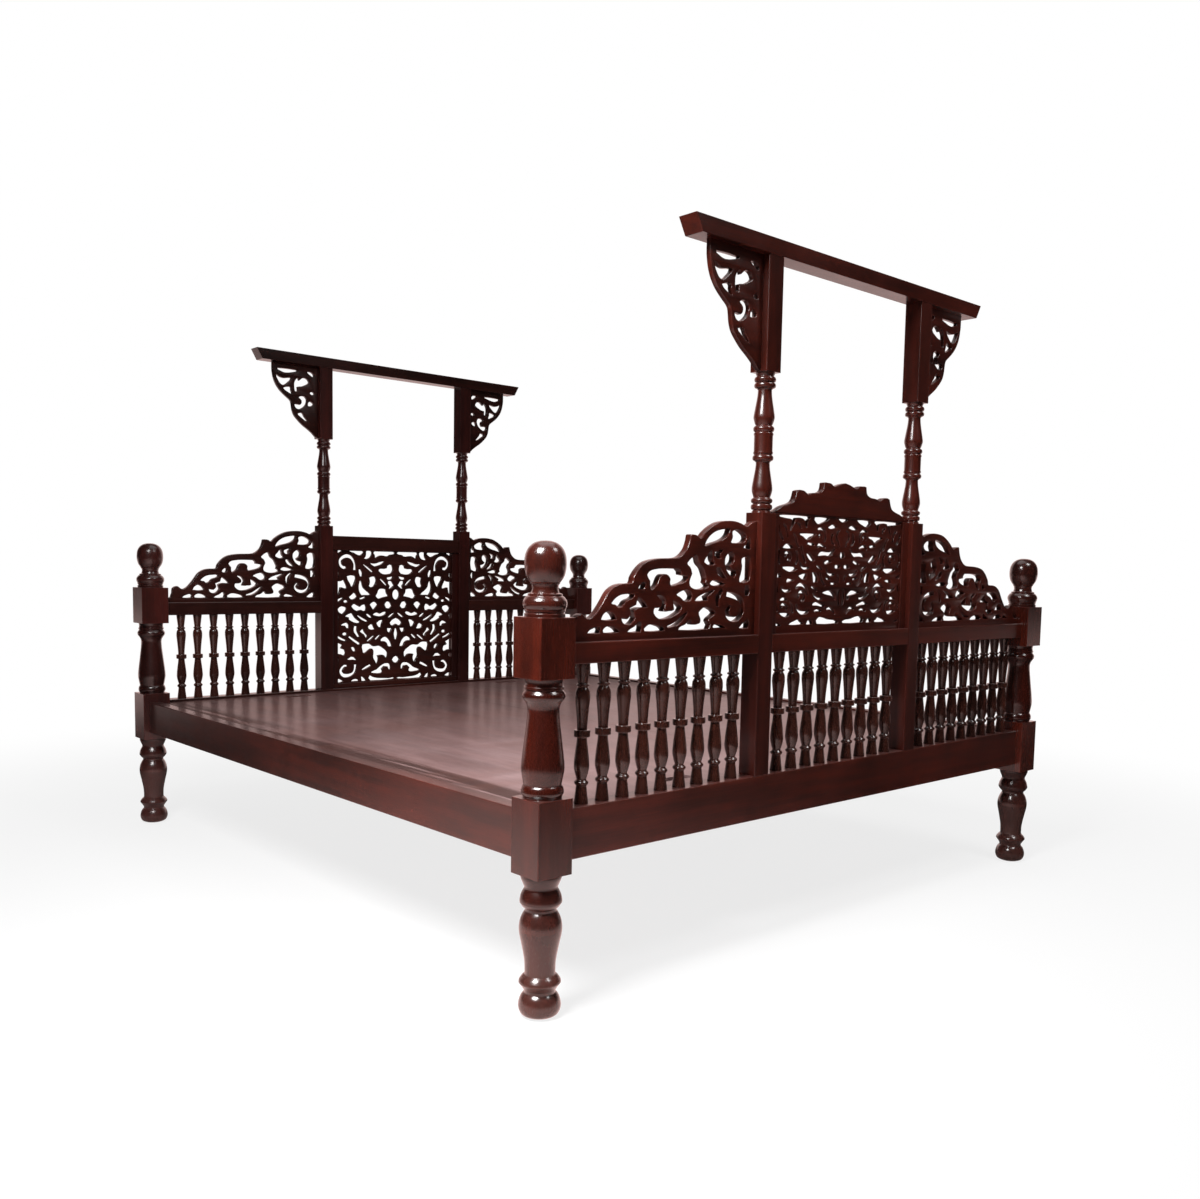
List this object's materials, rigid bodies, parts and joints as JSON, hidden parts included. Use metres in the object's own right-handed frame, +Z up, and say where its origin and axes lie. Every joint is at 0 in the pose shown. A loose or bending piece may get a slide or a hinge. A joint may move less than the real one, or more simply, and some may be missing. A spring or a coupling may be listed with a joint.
{
  "type": "carved platform bed",
  "caption": "Platform bed with turned corner posts, spindle rails, pierced scroll panels and head beams on tall half-turned uprights at both ends.",
  "frame": {"origin": "on the floor, under the middle of the bed's outline", "axes": "+X across the bed, +Y along the bed from the crested end to the lattice end, +Z up"},
  "size_m": [1.925, 2.145, 1.597],
  "materials": {
    "frame_wood": "dark red-brown stain under glossy varnish",
    "pierced_wood": "dark red-brown stain under glossy varnish, pierced and carved",
    "deck_board": "dark red-brown stain under glossy varnish",
    "inner_wood": "plain sawn hardwood, thin stain",
    "steel": "zinc-plated bed-rail plates"
  },
  "bodies": {
    "bed_frame": {"post_crest_left": "frame_wood", "post_crest_right": "frame_wood", "post_lattice_left": "frame_wood", "post_lattice_right": "frame_wood", "side_rail_left": "frame_wood", "side_rail_right": "frame_wood", "ledger_left": "inner_wood", "ledger_right": "inner_wood", "cleat_crest": "inner_wood", "cleat_lattice": "inner_wood", "bearer_1": "inner_wood", "bearer_2": "inner_wood", "bearer_3": "inner_wood", "bearer_4": "inner_wood", "rail_hooks": "steel", "post_plates": "steel", "crest_bottom_rail": "frame_wood", "crest_mid_rail_left": "frame_wood", "crest_mid_rail_centre": "frame_wood", "crest_mid_rail_right": "frame_wood", "crest_upright_left": "frame_wood", "crest_upright_right": "frame_wood", "crest_spindles_left": "frame_wood", "crest_spindles_centre": "frame_wood", "crest_spindles_right": "frame_wood", "crest_scroll_left": "pierced_wood", "crest_scroll_right": "pierced_wood", "crest_jali": "pierced_wood", "crest_stile_left": "frame_wood", "crest_stile_right": "frame_wood", "crest_board": "pierced_wood", "crest_beam": "frame_wood", "crest_bracket_left": "pierced_wood", "crest_bracket_right": "pierced_wood", "lattice_bottom_rail": "frame_wood", "lattice_mid_rail_left": "frame_wood", "lattice_mid_rail_right": "frame_wood", "lattice_upright_left": "frame_wood", "lattice_upright_right": "frame_wood", "lattice_spindles_left": "frame_wood", "lattice_spindles_right": "frame_wood", "lattice_scroll_left": "pierced_wood", "lattice_scroll_right": "pierced_wood", "lattice_jali": "pierced_wood", "lattice_stile_left": "frame_wood", "lattice_stile_right": "frame_wood", "lattice_sill": "frame_wood", "lattice_top_rail": "frame_wood", "lattice_beam": "frame_wood", "lattice_bracket_left": "pierced_wood", "lattice_bracket_right": "pierced_wood"},
    "deck_left_board": {"deck_left": "deck_board"},
    "deck_right_board": {"deck_right": "deck_board"}
  },
  "joints": [
    {"name": "deck_left_lift", "type": "slide", "parent": "bed_frame", "child": "deck_left_board", "axis": [0, 0, 1], "range_m": [0, 0.25]},
    {"name": "deck_right_lift", "type": "slide", "parent": "bed_frame", "child": "deck_right_board", "axis": [0, 0, 1], "range_m": [0, 0.25]}
  ]
}
